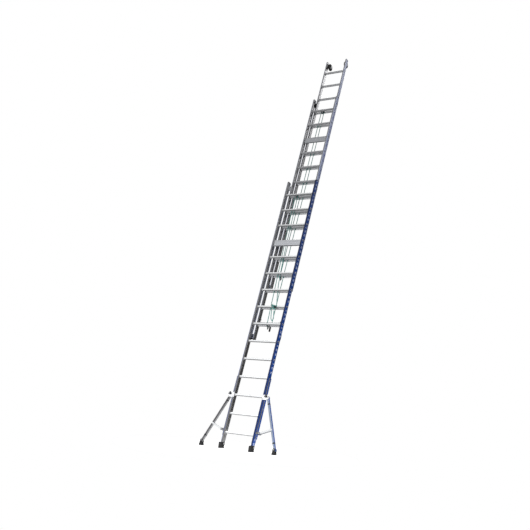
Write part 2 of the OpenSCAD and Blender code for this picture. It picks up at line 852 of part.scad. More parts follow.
module fly_hook_shaft() {
    color("silver") hook_shaft(fly_inner, fly_depth, fly_first);
}

module fly_rope_knot() {
    color("teal") rope_knot(-58, fly_depth, fly_first);
}

// Plates on the inner faces of the fly stiles, each with a fixed axle
module wheel_brackets() {
    plate = 5;
    reach = wheel_depth - fly_depth;
    color("silver") lean() both_sides() translate([fly_inner, fly_depth, wheel_u]) {
        span([-plate, -20, -34], [0, 20, 34]);
        span([-plate, 0, -22], [0, reach, 22]);
        translate([0, reach, 0]) {
            rod_x(22, -plate, 0);
            rod_x(wheel_axle_r, -plate - wheel_w - 5, eps);
            rod_x(14, -plate - wheel_w - 8, -plate - wheel_w - 2);
        }
        for (z = [-24, 24]) translate([0, -10, z]) rod_x(5, -plate - 3, -plate);
    }
}

// Rubber-tyred wall wheel
module wall_wheel(side) {
    r = wheel_d / 2;
    color("dimgray") lean() on_side(side) translate([wheel_x, wheel_depth, wheel_u])
        rotate([0, 90, 0]) difference() {
            rotate_extrude($fn = 96) difference() {
                translate([wheel_axle_r + running_gap, -wheel_w / 2])
                    polygon([[0, 0], [r - 8 - wheel_axle_r, 0], [r - wheel_axle_r - running_gap, 6],
                             [r - wheel_axle_r - running_gap, wheel_w - 6],
                             [r - 8 - wheel_axle_r, wheel_w], [0, wheel_w]]);
                for (s = [-1, 1]) translate([22, s > 0 ? wheel_w / 2 - 5 : -wheel_w / 2 - 1])
                    square([18, 6]);
            }
        }
}

module wall_wheel_left() { wall_wheel(-1); }

module wall_wheel_right() { wall_wheel(1); }

base_stile_left();
base_stile_right();
base_rungs();
base_top_caps();
base_guides();
base_guide_liners();
base_label_plate();
base_pulley_bracket();
base_pulley_wheel();
base_shoe_pins();
base_shoe_left();
base_shoe_right();
rope_cleat();
middle_rope_lift();
middle_rope_fall();
middle_rope_tail();
stabiliser_rails();
strut_pins();
stabiliser_slider_left();
stabiliser_slider_right();
slider_bolt_left();
slider_bolt_right();
clamp_knob_left();
clamp_knob_right();
stabiliser_leg_left();
stabiliser_leg_right();
leg_cap_left();
leg_cap_right();
stabiliser_strut_left();
stabiliser_strut_right();
stabiliser_foot_left();
stabiliser_foot_right();
middle_stile_left();
middle_stile_right();
middle_rungs();
middle_top_caps();
middle_glides();
middle_guides();
middle_label_plate();
middle_pulley_bracket();
middle_pulley_wheel();
middle_hook_lugs();
middle_hooks();
middle_hook_shaft();
middle_rope_knot();
fly_rope_lift();
fly_rope_fall();
fly_rope_hook();
fly_stile_left();
fly_stile_right();
fly_rungs();
fly_top_caps();
fly_glides();
fly_hook_lugs();
fly_hooks();
fly_hook_shaft();
fly_rope_knot();
wheel_brackets();
wall_wheel_left();
wall_wheel_right();
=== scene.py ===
"""Looks of a three-section rope extension ladder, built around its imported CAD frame.

Metres, +X is the climber's right, +Y the wall side, +Z up.
Ladder axes, used by at(): x across, v depth towards the wall, u height along the stiles.
"""
import json
import math

import bmesh
import bpy
from mathutils import Matrix, Vector


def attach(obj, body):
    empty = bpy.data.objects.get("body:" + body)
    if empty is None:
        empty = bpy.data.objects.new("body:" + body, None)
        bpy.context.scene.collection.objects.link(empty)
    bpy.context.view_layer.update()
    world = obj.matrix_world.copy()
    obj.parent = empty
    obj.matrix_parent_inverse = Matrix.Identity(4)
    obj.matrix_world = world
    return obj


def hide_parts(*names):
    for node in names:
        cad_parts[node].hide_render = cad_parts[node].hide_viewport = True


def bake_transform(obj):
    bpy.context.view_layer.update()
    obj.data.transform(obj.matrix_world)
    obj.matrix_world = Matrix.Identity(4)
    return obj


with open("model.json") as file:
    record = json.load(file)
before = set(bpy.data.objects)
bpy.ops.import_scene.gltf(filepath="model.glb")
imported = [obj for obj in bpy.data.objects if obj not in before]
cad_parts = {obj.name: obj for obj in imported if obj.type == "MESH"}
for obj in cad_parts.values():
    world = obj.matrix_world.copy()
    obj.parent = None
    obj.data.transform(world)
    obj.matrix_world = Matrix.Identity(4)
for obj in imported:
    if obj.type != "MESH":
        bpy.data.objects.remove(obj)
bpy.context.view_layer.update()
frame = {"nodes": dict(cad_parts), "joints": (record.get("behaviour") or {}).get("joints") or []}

scene = bpy.context.scene
nodes = frame["nodes"]
joints = {joint["name"]: joint for joint in frame["joints"]}

# ---------- driving dimensions, as the frame has them ----------
MM = 0.001
ACROSS = Vector((1, 0, 0))
ALONG = Vector(joints["middle_slide"]["axis"]).normalized()
DEPTH = ALONG.cross(ACROSS)
LADDER = Matrix((ACROSS, DEPTH, ALONG)).transposed().to_4x4()
LEAN = math.atan2(ALONG.y, ALONG.z)

PITCH = 280 * MM
RUNG_COUNT = 15
HALF_RUNG = 14 * MM
OVERHANG = 225 * MM


class Section:
    """One ladder section: its width, stile size, depth and heights, in ladder axes."""

    def __init__(self, name, width, stile_w, stile_d, depth, first, bottom):
        self.name, self.body = name, name + "_section"
        self.width, self.stile_w, self.stile_d = width, stile_w, stile_d
        self.depth, self.first, self.bottom = depth, first, bottom
        self.outer = width / 2
        self.inner = width / 2 - stile_w
        self.middle_x = self.inner + stile_w / 2
        self.top = first + (RUNG_COUNT - 1) * PITCH + OVERHANG
        self.front = depth - stile_d / 2
        self.back = depth + stile_d / 2

    def rung(self, number):
        """Height of a rung, counted from 1 at the bottom."""
        return self.first + (number - 1) * PITCH


BASE = Section("base", 540 * MM, 27 * MM, 66 * MM, 0, 230 * MM, 45 * MM)
MIDDLE = Section("middle", 456 * MM, 25 * MM, 62 * MM, 67 * MM, 1910 * MM, 1685 * MM)
FLY = Section("fly", 396 * MM, 24 * MM, 58 * MM, 130 * MM, 2750 * MM, 2525 * MM)
SECTIONS = (BASE, MIDDLE, FLY)
SIDES = {"left": -1, "right": 1}
SIGNS = tuple(SIDES.values())

ROPE_D = 12 * MM
ROPE_RING = 26 * MM
# Pulley centres: across, depth and height, in millimetres
PULLEYS = {"base": (-77, 29.5, 4150), "middle": (-20, 98.5, 5830)}

# ---------- camera ----------
CAMERA_AT = (6.5004, -9.4325, 0.8472)
CAMERA_YAW = math.radians(33.6814)
CAMERA_PITCH = math.radians(8.9563)
CAMERA_ROLL = math.radians(4.9972)
SENSOR = 36
LENS = 54.12


def make_camera():
    forward = Vector((-math.sin(CAMERA_YAW) * math.cos(CAMERA_PITCH),
                      math.cos(CAMERA_YAW) * math.cos(CAMERA_PITCH), math.sin(CAMERA_PITCH)))
    level = forward.cross(Vector((0, 0, 1))).normalized()
    above = level.cross(forward)
    right = math.cos(CAMERA_ROLL) * level + math.sin(CAMERA_ROLL) * above
    up = -math.sin(CAMERA_ROLL) * level + math.cos(CAMERA_ROLL) * above
    data = bpy.data.cameras.new("camera")
    data.sensor_width = SENSOR
    data.lens = LENS
    data.clip_end = 200
    camera = bpy.data.objects.new("camera", data)
    scene.collection.objects.link(camera)
    turn = Matrix((right, up, -forward)).transposed().to_4x4()
    camera.matrix_world = Matrix.Translation(CAMERA_AT) @ turn
    scene.camera = camera


make_camera()


# ---------- places ----------
def at(x, v, u):
    """A point given in ladder axes."""
    return LADDER @ Vector((x, v, u))


def aim(origin, direction):
    """A frame at origin whose z axis points along direction, both in world axes."""
    z = Vector(direction).normalized()
    helper = ALONG if abs(z.dot(ALONG)) < 0.9 else ACROSS
    x = helper.cross(z).normalized()
    turn = Matrix((x, z.cross(x), z)).transposed().to_4x4()
    return Matrix.Translation(origin) @ turn


def facing(x, v, u, direction):
    """A frame at a ladder point, its z axis along a direction in ladder axes."""
    return aim(at(x, v, u), LADDER.to_3x3() @ Vector(direction))


def leaning(x=0.0, v=0.0, u=0.0):
    """The ladder axes, moved to a ladder point."""
    return Matrix.Translation(at(x, v, u)) @ LADDER


FRONT, BACK = (0, -1, 0), (0, 1, 0)


# ---------- mesh building ----------
def frames_along(line, closed=False):
    """For each point: itself, two directions across the line that don't twist, and its distance."""
    result, across, run = [], None, 0.0
    last = len(line) - 1
    for i, point in enumerate(line):
        before = line[i - 1] if i or closed else line[0]
        after = line[(i + 1) % len(line)] if i < last or closed else line[last]
        along = (after - before).normalized()
        if across is None:
            helper = DEPTH if abs(along.dot(DEPTH)) < 0.9 else ACROSS
            across = along.cross(helper).normalized()
        else:
            across = (across - along * across.dot(along)).normalized()
            run += (point - line[i - 1]).length
        result.append((point, across, along.cross(across), run))
    return result


def smooth_line(points, step):
    """A smooth curve through the points, its own points about step apart."""
    line = [Vector(p) for p in points]
    gaps = [(b - a).length for a, b in zip(line, line[1:])]
    slopes = []
    for i in range(len(line)):
        a, b = max(i - 1, 0), min(i + 1, len(line) - 1)
        slopes.append((line[b] - line[a]) / sum(gaps[a:b]))
    dense = []
    for i, gap in enumerate(gaps):
        count = max(1, round(gap / step))
        for k in range(count):
            t = k / count
            dense.append((2 * t ** 3 - 3 * t ** 2 + 1) * line[i]
                         + (t ** 3 - 2 * t ** 2 + t) * gap * slopes[i]
                         + (3 * t ** 2 - 2 * t ** 3) * line[i + 1]
                         + (t ** 3 - t ** 2) * gap * slopes[i + 1])
    dense.append(line[-1])
    return dense


def circle(radius, sides=24):
    """Outline of a circle, or of a regular polygon."""
    return [(radius * math.cos(2 * math.pi * k / sides),
             radius * math.sin(2 * math.pi * k / sides)) for k in range(sides)]


CORNER_STEPS = 5


def round_rect(width, height, radius):
    """Outline of a rectangle with round corners."""
    points = []
    for corner, (sx, sy) in enumerate(((1, 1), (-1, 1), (-1, -1), (1, -1))):
        for k in range(CORNER_STEPS + 1):
            a = math.pi / 2 * (corner + k / CORNER_STEPS)
            points.append((sx * (width / 2 - radius) + radius * math.cos(a),
                           sy * (height / 2 - radius) + radius * math.sin(a)))
    return points


def add_bevel(piece, width, angle=40):
    bevel = piece.modifiers.new("edges", "BEVEL")
    bevel.width = width
    bevel.segments = 2
    bevel.limit_method = "ANGLE"
    bevel.angle_limit = math.radians(angle)
    bevel.harden_normals = True


class Shape:
    """Closed solids gathered in one mesh."""

    def __init__(self):
        self.mesh = bmesh.new()

    def ring(self, points):
        return [self.mesh.verts.new(p) for p in points]

    def skin(self, rings, closed=False, finish=0):
        """Faces between rings of vertices; a ring of one vertex is a point."""
        pairs = list(zip(rings, rings[1:]))
        if closed:
            pairs.append((rings[-1], rings[0]))
        for a, b in pairs:
            for k in range(max(len(a), len(b))):
                corners = []
                for vertex in (a[k % len(a)], a[(k + 1) % len(a)],
                               b[(k + 1) % len(b)], b[k % len(b)]):
                    if vertex not in corners:
                        corners.append(vertex)
                self.mesh.faces.new(corners).material_index = finish

    def lathe(self, place, outline, sides=24, finish=0):
        """Outline points (radius, height) turned about the z axis of place."""
        rings = []
        for radius, height in outline:
            points = circle(radius, sides) if radius else [(0, 0)]
            rings.append(self.ring(place @ Vector((x, y, height)) for x, y in points))
        self.skin(rings, finish=finish)

    def prism(self, place, outline, low, high, finish=0):
        """A flat outline (x, y) raised along the z axis of place."""
        rings = [self.ring(place @ Vector((x, y, z)) for x, y in outline) for z in (low, high)]
        self.skin(rings, finish=finish)
        for ring in rings:
            self.cap(ring, finish)

    def block(self, place, low, high, finish=0):
        """A box between two corners, in place's own axes."""
        outline = [(low[0], low[1]), (high[0], low[1]), (high[0], high[1]), (low[0], high[1])]
        self.prism(place, outline, low[2], high[2], finish)

    def collar(self, place, outer, inner, low, high, finish=0):
        """A frame between two outlines with as many points each."""
        levels = ((outer, low), (outer, high), (inner, high), (inner, low))
        self.skin([self.ring(place @ Vector((x, y, z)) for x, y in outline)
                   for outline, z in levels], True, finish)

    def tube(self, line, radius, sides=8, closed=False, finish=0):
        """A round tube along world points."""
        turns = [2 * math.pi * k / sides for k in range(sides)]
        rings = [self.ring(centre + radius * (math.cos(t) * a + math.sin(t) * b) for t in turns)
                 for centre, a, b, _ in frames_along(line, closed)]
        self.skin(rings, closed, finish)
        if not closed:
            self.cap(rings[0], finish)
            self.cap(rings[-1], finish)

    def cap(self, ring, finish=0):
        """One flat face over a ring of vertices."""
        self.mesh.faces.new(ring).material_index = finish

    def square_collar(self, place, levels, radius):
        """A closed square collar: each level is its half side and its height."""
        self.skin([self.ring(place @ Vector((x, y, z)) for x, y in round_rect(
            2 * half, 2 * half, radius)) for half, z in levels], True)

    def build(self, name, materials, body=None, bevel=0.0):
        """The finished piece; it rides on body unless body is None."""
        bmesh.ops.recalc_face_normals(self.mesh, faces=self.mesh.faces)
        data = bpy.data.meshes.new(name)
        self.mesh.to_mesh(data)
        self.mesh.free()
        data.shade_smooth()
        data.set_sharp_from_angle(angle=math.radians(35))
        for material in materials:
            data.materials.append(material)
        piece = bpy.data.objects.new(name, data)
        scene.collection.objects.link(piece)
        if bevel:
            add_bevel(piece, bevel)
        if body:
            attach(piece, body)
        return piece


# ---------- materials ----------
class Finish:
    """A procedural material being put together."""

    def __init__(self, name, metallic=0.0):
        self.material = bpy.data.materials.new(name)
        self.material.use_nodes = True
        self.tree = self.material.node_tree
        self.shader = self.tree.nodes["Principled BSDF"]
        self.set("Metallic", metallic)

    def node(self, kind, **settings):
        made = self.tree.nodes.new(kind)
        for key, value in settings.items():
            setattr(made, key, value)
        return made

    def feed(self, socket, value):
        """Sets a socket, or links it when the value is another node's socket."""
        if isinstance(value, bpy.types.NodeSocket):
            self.tree.links.new(value, socket)
        else:
            socket.default_value = value

    def mapped(self, vector, name, value, kind="POINT"):
        made = self.node("ShaderNodeMapping", vector_type=kind)
        self.feed(made.inputs["Vector"], vector)
        made.inputs[name].default_value = value
        return made.outputs[0]

    def coords(self, scale=(1, 1, 1), turn=(LEAN, 0, 0)):
        """Coordinates at rest in the ladder's axes, scaled."""
        rest = self.node("ShaderNodeTexCoord").outputs["Object"]
        return self.mapped(self.mapped(rest, "Rotation", turn), "Scale", scale)

    def axes(self):
        """x, v and u as three sockets."""
        split = self.node("ShaderNodeSeparateXYZ")
        self.feed(split.inputs[0], self.coords())
        return split.outputs[0], split.outputs[1], split.outputs[2]

    def noise(self, scale, detail=3.0, turn=(LEAN, 0, 0), rough=0.5):
        made = self.node("ShaderNodeTexNoise")
        self.feed(made.inputs["Vector"], self.coords(scale, turn))
        for name, number in (("Scale", 1.0), ("Detail", detail), ("Roughness", rough)):
            made.inputs[name].default_value = number
        return made.outputs["Fac"]

    def calc(self, operation, a, b=0.0):
        made = self.node("ShaderNodeMath", operation=operation)
        self.feed(made.inputs[0], a)
        self.feed(made.inputs[1], b)
        return made.outputs[0]

    def times(self, a, b):
        return self.calc("MULTIPLY", a, b)

    def minus(self, a, b):
        return self.calc("SUBTRACT", a, b)

    def above(self, a, b):
        return self.calc("GREATER_THAN", a, b)

    def below(self, a, b):
        return self.calc("LESS_THAN", a, b)

    def spread(self, value, low, high, to_low=0.0, to_high=1.0):
        made = self.node("ShaderNodeMapRange")
        for socket, number in zip(made.inputs, (value, low, high, to_low, to_high)):
            self.feed(socket, number)
        return made.outputs[0]

    def mixed(self, data_type, kind, share, a, b):
        made = self.node("ShaderNodeMix", data_type=data_type)
        self.feed(made.inputs["Factor"], share)
        for name, value in (("A", a), ("B", b)):
            self.feed([s for s in made.inputs if s.name == name and s.type == kind][0], value)
        return [s for s in made.outputs if s.type == kind][0]

    def mix(self, share, a, b):
        """Colour a where share is 0, and b where it is 1."""
        a, b = (c if isinstance(c, bpy.types.NodeSocket) else (*c, 1) for c in (a, b))
        return self.mixed("RGBA", "RGBA", share, a, b)

    def mix_number(self, share, a, b):
        """Number a where share is 0, and b where it is 1."""
        return self.mixed("FLOAT", "VALUE", share, a, b)

    def bump(self, height, distance, strength=1.0):
        made = self.node("ShaderNodeBump")
        made.inputs["Strength"].default_value = strength
        made.inputs["Distance"].default_value = distance
        self.feed(made.inputs["Height"], height)
        self.feed(self.shader.inputs["Normal"], made.outputs[0])

    def set(self, name, value):
        self.feed(self.shader.inputs[name], value)

    def done(self, colour, roughness):
        """The material, with these two set."""
        self.set("Base Color", colour)
        self.set("Roughness", roughness)
        return self.material


ALUMINIUM = (0.42, 0.42, 0.43)
BLUE = (0.008, 0.065, 0.340)
PALE_BLUE = (0.50, 0.57, 0.82)
# Painted light: the legs are one aluminium, the left drawn dark grey as shaded and the right pale
# blue as lit
LEG_LIT_AND_SHADED_TONE = {"left": (0.27, 0.27, 0.28), "right": (0.66, 0.77, 0.96)}
NAVY = (0.004, 0.010, 0.045)
LACQUER_GLOSS = 0.34
FILM_WRAP = 4 * MM
REAR_BAND = 6 * MM
RUNG_END = 9 * MM
MARKS_FROM_RUNG = 50 * MM
# Band along each rung's lower edge that carries painted shading
SHADED_EDGE_FROM, SHADED_EDGE_TO = 6 * MM, 9 * MM
# Added before a fraction is taken, so that it never starts below zero
WHOLE_PITCHES = 40


def brushed(finish, tone, streaks, turn=(LEAN, 0, 0)):
    """Extruded metal: tone and gloss vary in streaks, with a few handling marks."""
    fine = finish.noise(streaks, 4.0, turn)
    cloudy = finish.noise((9, 9, 9), 2.0, turn)
    marks = finish.noise((60, 60, 25), 5.0, turn, 0.7)
    grey = finish.spread(fine, 0.3, 0.7, 0.90, 1.06)
    grey = finish.times(grey, finish.spread(cloudy, 0.3, 0.7, 0.94, 1.05))
    scuffs = finish.spread(marks, 0.62, 0.72, 0.0, 0.35)
    base = finish.mix(grey, (0, 0, 0), tone)
    base = finish.mix(scuffs, base, tuple(0.55 * c for c in tone))
    gloss = finish.spread(fine, 0.25, 0.75, 0.30, 0.48)
    gloss = finish.calc("ADD", gloss, finish.times(scuffs, 0.5))
    finish.bump(fine, 0.15 * MM)
    return base, gloss


def lacquered(finish, covered, metal, gloss, film):
    """The material of a metal that is under film or lacquer where covered is 1."""
    finish.set("Metallic", finish.spread(covered, 0, 1, 1.0, 0.0))
    return finish.done(finish.mix(covered, metal, film),
                       finish.mix_number(covered, gloss, LACQUER_GLOSS))


def stile_finish(section):
    """Mill aluminium with a printed film on the outer face: plain dashes, no lettering.

    The base section's film is blue with pale dashes, the raised sections' the reverse. The
    base section's film ends in a navy band behind, and covers the right stile's front edge.
    """
    finish = Finish(f"{section.name}_stile_finish")
    metal, gloss = brushed(finish, ALUMINIUM, (420, 420, 5))
    x, v, u = finish.axes()
    outside = finish.above(finish.calc("ABSOLUTE", x), section.outer - FILM_WRAP)
    off = finish.minus(v, section.depth)
    across = finish.calc("ABSOLUTE", off)
    turns = finish.calc("DIVIDE", finish.minus(u, section.first), PITCH)
    along = finish.calc("FRACT", finish.calc("ADD", turns, WHOLE_PITCHES))
    from_rung = finish.times(finish.calc("MINIMUM", along, finish.minus(1.0, along)), PITCH)
    group = finish.above(from_rung, MARKS_FROM_RUNG)
    if section is BASE:
        ground, mark, low, high, count = BLUE, PALE_BLUE, 2 * MM, 15 * MM, 4
        where = across
    else:
        ground, mark, low, high, count = PALE_BLUE, (0.03, 0.06, 0.42), 8 * MM, 26 * MM, 3
        where = off
    dash = finish.below(finish.calc("FRACT", finish.times(turns, count)), 0.5)
    row = finish.times(finish.above(where, low), finish.below(where, high))
    printed = finish.times(finish.times(dash, group), row)
    wear = finish.spread(finish.noise((25, 25, 8), 5.0, rough=0.7), 0.50, 0.62, 1.0, 0.75)
    cloudy = finish.spread(finish.noise((6, 6, 3)), 0.35, 0.65, 0.8, 1.2)
    film = finish.mix(cloudy, (0, 0, 0), ground)
    film = finish.mix(finish.times(printed, wear), film, mark)
    # Painted shade: the open end of each rung tube on the outer face is drawn near-black
    painted_tube_shade = finish.times(finish.below(from_rung, RUNG_END), finish.below(across, RUNG_END))
    film = finish.mix(painted_tube_shade, film, (0.012, 0.012, 0.014))
    covered = outside
    if section is BASE:
        front = finish.times(finish.above(x, section.inner),
                             finish.below(v, section.front + 1 * MM))
        covered = finish.calc("MAXIMUM", outside, front)
        rear = finish.above(v, section.back - REAR_BAND)
        film = finish.mix(finish.calc("MAXIMUM", front, rear), film, NAVY)
    return lacquered(finish, covered, metal, gloss, film)


def metal_finish(name, tone, metallic=0.85):
    finish = Finish(name, metallic)
    base, gloss = brushed(finish, tone, (90, 90, 90))
    return finish.done(base, gloss)


def rung_finish(section, tone, edge_shading=1.0):
    """Ribbed rung; a band along its lower edge is painted shading, the tone times the last
    argument: painted shade below 1 and painted highlight above 1.
    """
    finish = Finish(f"{section.name}_rung_finish", 0.30)
    base, gloss = brushed(finish, tone, (4, 420, 420))
    up = finish.minus(finish.axes()[2], section.first - HALF_RUNG)
    turns = finish.calc("DIVIDE", up, PITCH)
    above_edge = finish.calc("FRACT", finish.calc("ADD", turns, WHOLE_PITCHES))
    # Painted shading along the lower edge of each rung
    edge = finish.spread(above_edge, SHADED_EDGE_FROM / PITCH, SHADED_EDGE_TO / PITCH, 1.0, 0.0)
    return finish.done(finish.mix(edge, base, tuple(edge_shading * c for c in tone)), gloss)


def plastic_finish(name, tone, grain=900, gloss=0.42, depth=0.12 * MM):
    """Moulded plastic or rubber: a fine grain, dust and a slight cloudiness."""
    finish = Finish(name)
    fine = finish.noise((grain, grain, grain), 2.0)
    cloudy = finish.noise((14, 14, 14), 3.0)
    dust = finish.spread(finish.noise((45, 45, 45), 5.0, rough=0.7), 0.55, 0.75, 0.0, 0.25)
    base = finish.mix(finish.spread(cloudy, 0.3, 0.7, 0.8, 1.2), (0, 0, 0), tone)
    base = finish.mix(dust, base, tuple(0.04 + 0.9 * c for c in tone))
    finish.set("Specular IOR Level", 0.3)
    finish.bump(fine, depth)
    return finish.done(base, finish.spread(fine, 0.2, 0.8, gloss - 0.06, gloss + 0.14))


def zinc_finish(name, tone, roughness=0.32):
    """Plated or cast steel: small crystals of slightly different tone."""
    finish = Finish(name, 0.9)
    cells = finish.node("ShaderNodeTexVoronoi")
    finish.feed(cells.inputs["Vector"], finish.coords((260, 260, 260)))
    cells.inputs["Scale"].default_value = 1.0
    split = finish.node("ShaderNodeSeparateColor")
    finish.feed(split.inputs[0], cells.outputs["Color"])
    grey = finish.spread(split.outputs[0], 0, 1, 0.86, 1.10)
    stain = finish.spread(finish.noise((30, 30, 30), 5.0, rough=0.65), 0.5, 0.75, 0.0, 0.4)
    base = finish.mix(grey, (0, 0, 0), tone)
    base = finish.mix(stain, base, tuple(0.6 * c for c in tone))
    finish.bump(finish.noise((700, 700, 700), 2.0), 0.08 * MM)
    gloss = finish.spread(split.outputs[1], 0, 1, roughness, roughness + 0.16)
    return finish.done(base, gloss)


def plate_finish(section, up):
    """Pale lacquered plate with dark hems and two plain grey bars, and no lettering."""
    finish = Finish(f"{section.name}_plate_finish")
    x, _, u = finish.axes()
    across = finish.calc("ABSOLUTE", x)
    half = section.inner - 3 * MM
    off = finish.calc("ABSOLUTE", finish.minus(u, up - 46 * MM))
    hem = finish.calc("MAXIMUM", finish.above(off, 45 * MM), finish.above(across, half - 5 * MM))
    bars = finish.times(finish.above(off, 14 * MM), finish.below(off, 19 * MM))
    bars = finish.times(bars, finish.below(across, half - 34 * MM))
    grime = finish.spread(finish.noise((20, 20, 20), 5.0, rough=0.65), 0.45, 0.8, 0.0, 0.35)
    base = finish.mix(grime, (0.37, 0.38, 0.40), (0.24, 0.24, 0.24))
    base = finish.mix(finish.times(bars, 0.5), base, (0.16, 0.18, 0.22))
    base = finish.mix(finish.times(hem, 0.9), base, (0.035, 0.037, 0.045))
    finish.bump(finish.noise((90, 90, 90), 2.0), 0.10 * MM)
    gloss = finish.spread(finish.noise((120, 120, 120)), 0.3, 0.7, 0.28, 0.42)
    return finish.done(base, gloss)


def blue_metal_finish(name, turn, outer, tone=ALUMINIUM):
    """Aluminium lacquered blue on its outer face, or on both sides where outer is 0."""
    finish = Finish(name)
    metal, gloss = brushed(finish, tone, (420, 420, 5), turn)
    normal = finish.node("ShaderNodeTexCoord").outputs["Normal"]
    split = finish.node("ShaderNodeSeparateXYZ")
    finish.feed(split.inputs[0], finish.mapped(normal, "Rotation", turn, "NORMAL"))
    outward = finish.times(split.outputs[0], outer) if outer else finish.calc(
        "ABSOLUTE", split.outputs[0])
    outside = finish.above(outward, 0.6)
    cloudy = finish.spread(finish.noise((6, 6, 3)), 0.35, 0.65, 0.8, 1.25)
    lacquer = finish.mix(cloudy, (0, 0, 0), BLUE)
    return lacquered(finish, outside, metal, gloss, lacquer)


def rope_finish(name, tone):
    """Braided polypropylene: fibres, and a slight bleaching."""
    finish = Finish(name)
    fibres = finish.noise((1500, 1500, 160), 3.0)
    bleached = finish.spread(finish.noise((7, 7, 4)), 0.35, 0.65, 0.0, 0.25)
    base = finish.mix(finish.spread(fibres, 0.3, 0.7, 0.75, 1.2), (0, 0, 0), tone)
    base = finish.mix(bleached, base, tuple(0.08 + 0.9 * c for c in tone))
    finish.bump(fibres, 0.3 * MM)
    finish.set("Sheen Weight", 0.25)
    return finish.done(base, finish.spread(fibres, 0.3, 0.7, 0.52, 0.78))


STILE = {section.name: stile_finish(section) for section in SECTIONS}
# The rungs are one aluminium: their tones are painted light, lighter on the base and darker up the
# ladder, and the lower-edge factors are painted shading
RUNG = {"base": rung_finish(BASE, (0.62, 0.63, 0.64), 0.3),
        "middle": rung_finish(MIDDLE, (0.38, 0.385, 0.40), 0.8),
        "fly": rung_finish(FLY, (0.29, 0.295, 0.305), 2.0)}
BRACKET = metal_finish("bracket_finish", (0.62, 0.63, 0.65))
SLIDER = metal_finish("slider_finish", (0.80, 0.81, 0.83), 0.45)
STRUT = metal_finish("strut_finish", (0.55, 0.56, 0.57), 0.45)
BLACK = plastic_finish("black_plastic_finish", (0.012, 0.012, 0.014))
RUBBER = plastic_finish("rubber_finish", (0.016, 0.016, 0.017), 500, 0.66, 0.25 * MM)
TYRE = plastic_finish("tyre_finish", (0.020, 0.020, 0.021), 500, 0.60, 0.25 * MM)
ZINC = zinc_finish("zinc_finish", (0.66, 0.67, 0.69))
CAST = zinc_finish("cast_hook_finish", (0.30, 0.30, 0.31), 0.42)
DARK_STEEL = zinc_finish("black_steel_finish", (0.03, 0.03, 0.033), 0.38)
ROPE = rope_finish("rope_finish", (0.002, 0.115, 0.100))
ROPE_TRACER = rope_finish("rope_tracer_finish", (0.006, 0.240, 0.200))
WHIPPING = rope_finish("whipping_finish", (0.006, 0.020, 0.018))

LEG_ANGLE = math.radians(22.78)

# ---------- ropes: cords first ----------
ROPE_STEP = 4.5 * MM
ROPE_LAY = 40 * MM


def rope(name, route, materials=(ROPE, ROPE_TRACER)):
    """A rope of three twisted strands along route; gives the shape's object and its line."""
    line = smooth_line(route, ROPE_STEP)
    strand = ROPE_D / 4
    shape = Shape()
    for part in range(3):
        rail = []
        for centre, a, b, run in frames_along(line):
            turn = 2 * math.pi * (run / ROPE_LAY + part / 3)
            rail.append(centre + strand * (math.cos(turn) * a + math.sin(turn) * b))
        shape.tube(rail, strand, 6, finish=1 if part == 0 else 0)
    return shape.build(name, materials), line


def in_mm(points):
    """World points of ladder points given in millimetres."""
    return [at(x * MM, v * MM, u * MM) for x, v, u in points]


def over_pulley(x, v, u):
    """Half turn over a pulley from its left side to its right side, in millimetres."""
    ring, lead = ROPE_RING / MM, 4
    turns = [math.radians(degrees) for degrees in range(180, 0, -20)]
    return [(x - ring, v, u - lead)] + [
        (x + ring * math.cos(a), v, u + ring * math.sin(a)) for a in turns]


MIDDLE_LIFT = [(-103, 29.5, 4145.5), (-84.3, 29.5, 3600), (-65.6, 29.5, 3050),
               (-46.9, 29.5, 2500), (-28, 29.5, 1946)]
MIDDLE_FALL = [(-51, 29.5, 4150), (-47, 29.5, 3860), (-43, 29.5, 3570), (-37, 29.5, 3280),
               (-27, 29.5, 2990), (-10, 29.5, 2700), (2, 29.5, 2560), (14, 26, 2495),
               (32, 16, 2430), (52, 0, 2360), (74, -14, 2290), (90, -23, 2235),
               (97, -28, 2200), (98, -28, 2150)]
FLY_LIFT = [(-46, 98.5, 5825.5), (-49, 98.5, 5070), (-52, 98.5, 4310), (-55, 98.5, 3550),
            (-58, 98.5, 2788)]
FLY_FALL = [(6, 98.5, 5830), (6, 98.5, 4860), (6, 98.5, 3890), (6, 98.5, 2930),
            (6, 98.5, 1960)]
TAIL_START = (28, -28, 2150)
TAIL = [(0, 0, 0), (-1, 0, -30), (-2, 0, -60), (-3, 0, -90), (-3, 0, -120), (-2, 0, -140),
        (2, 0, -160), (10, 0, -174), (20, 0, -180), (30, 0, -174), (38, 0, -160),
        (42, 0, -140), (43, 0, -120), (42, 0, -90), (41, 0, -60), (40, 0, -30)]


def declare_rope(node):
    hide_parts(node)


def lift_rope(name, route, node):
    """Taut run from a pulley to the knot on the section that it raises."""
    piece, line = rope(name, in_mm(route))
    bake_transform(piece)
    declare_rope(node)


def fixed_rope(name, points, body, node):
    piece, line = rope(name, points)
    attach(piece, body)
    declare_rope(node)


lift_rope("rope_middle_lift", MIDDLE_LIFT,
          "middle_rope_lift")
lift_rope("rope_fly_lift", FLY_LIFT, "fly_rope_lift")
fixed_rope("rope_middle_fall", in_mm(over_pulley(*PULLEYS["base"]) + MIDDLE_FALL),
           "base_section", "middle_rope_fall")
fixed_rope("rope_fly_fall", in_mm(over_pulley(*PULLEYS["middle"]) + FLY_FALL),
           "middle_section", "fly_rope_fall")
tail_from = in_mm([TAIL_START])[0]
fixed_rope("rope_tail", [tail_from + MM * Vector(p) for p in TAIL], "base_section",
           "middle_rope_tail")


# ---------- finishes of the frame's own nodes ----------
def both(name):
    """A node's name on the left and on the right."""
    return [f"{name}_{side}" for side in SIDES]


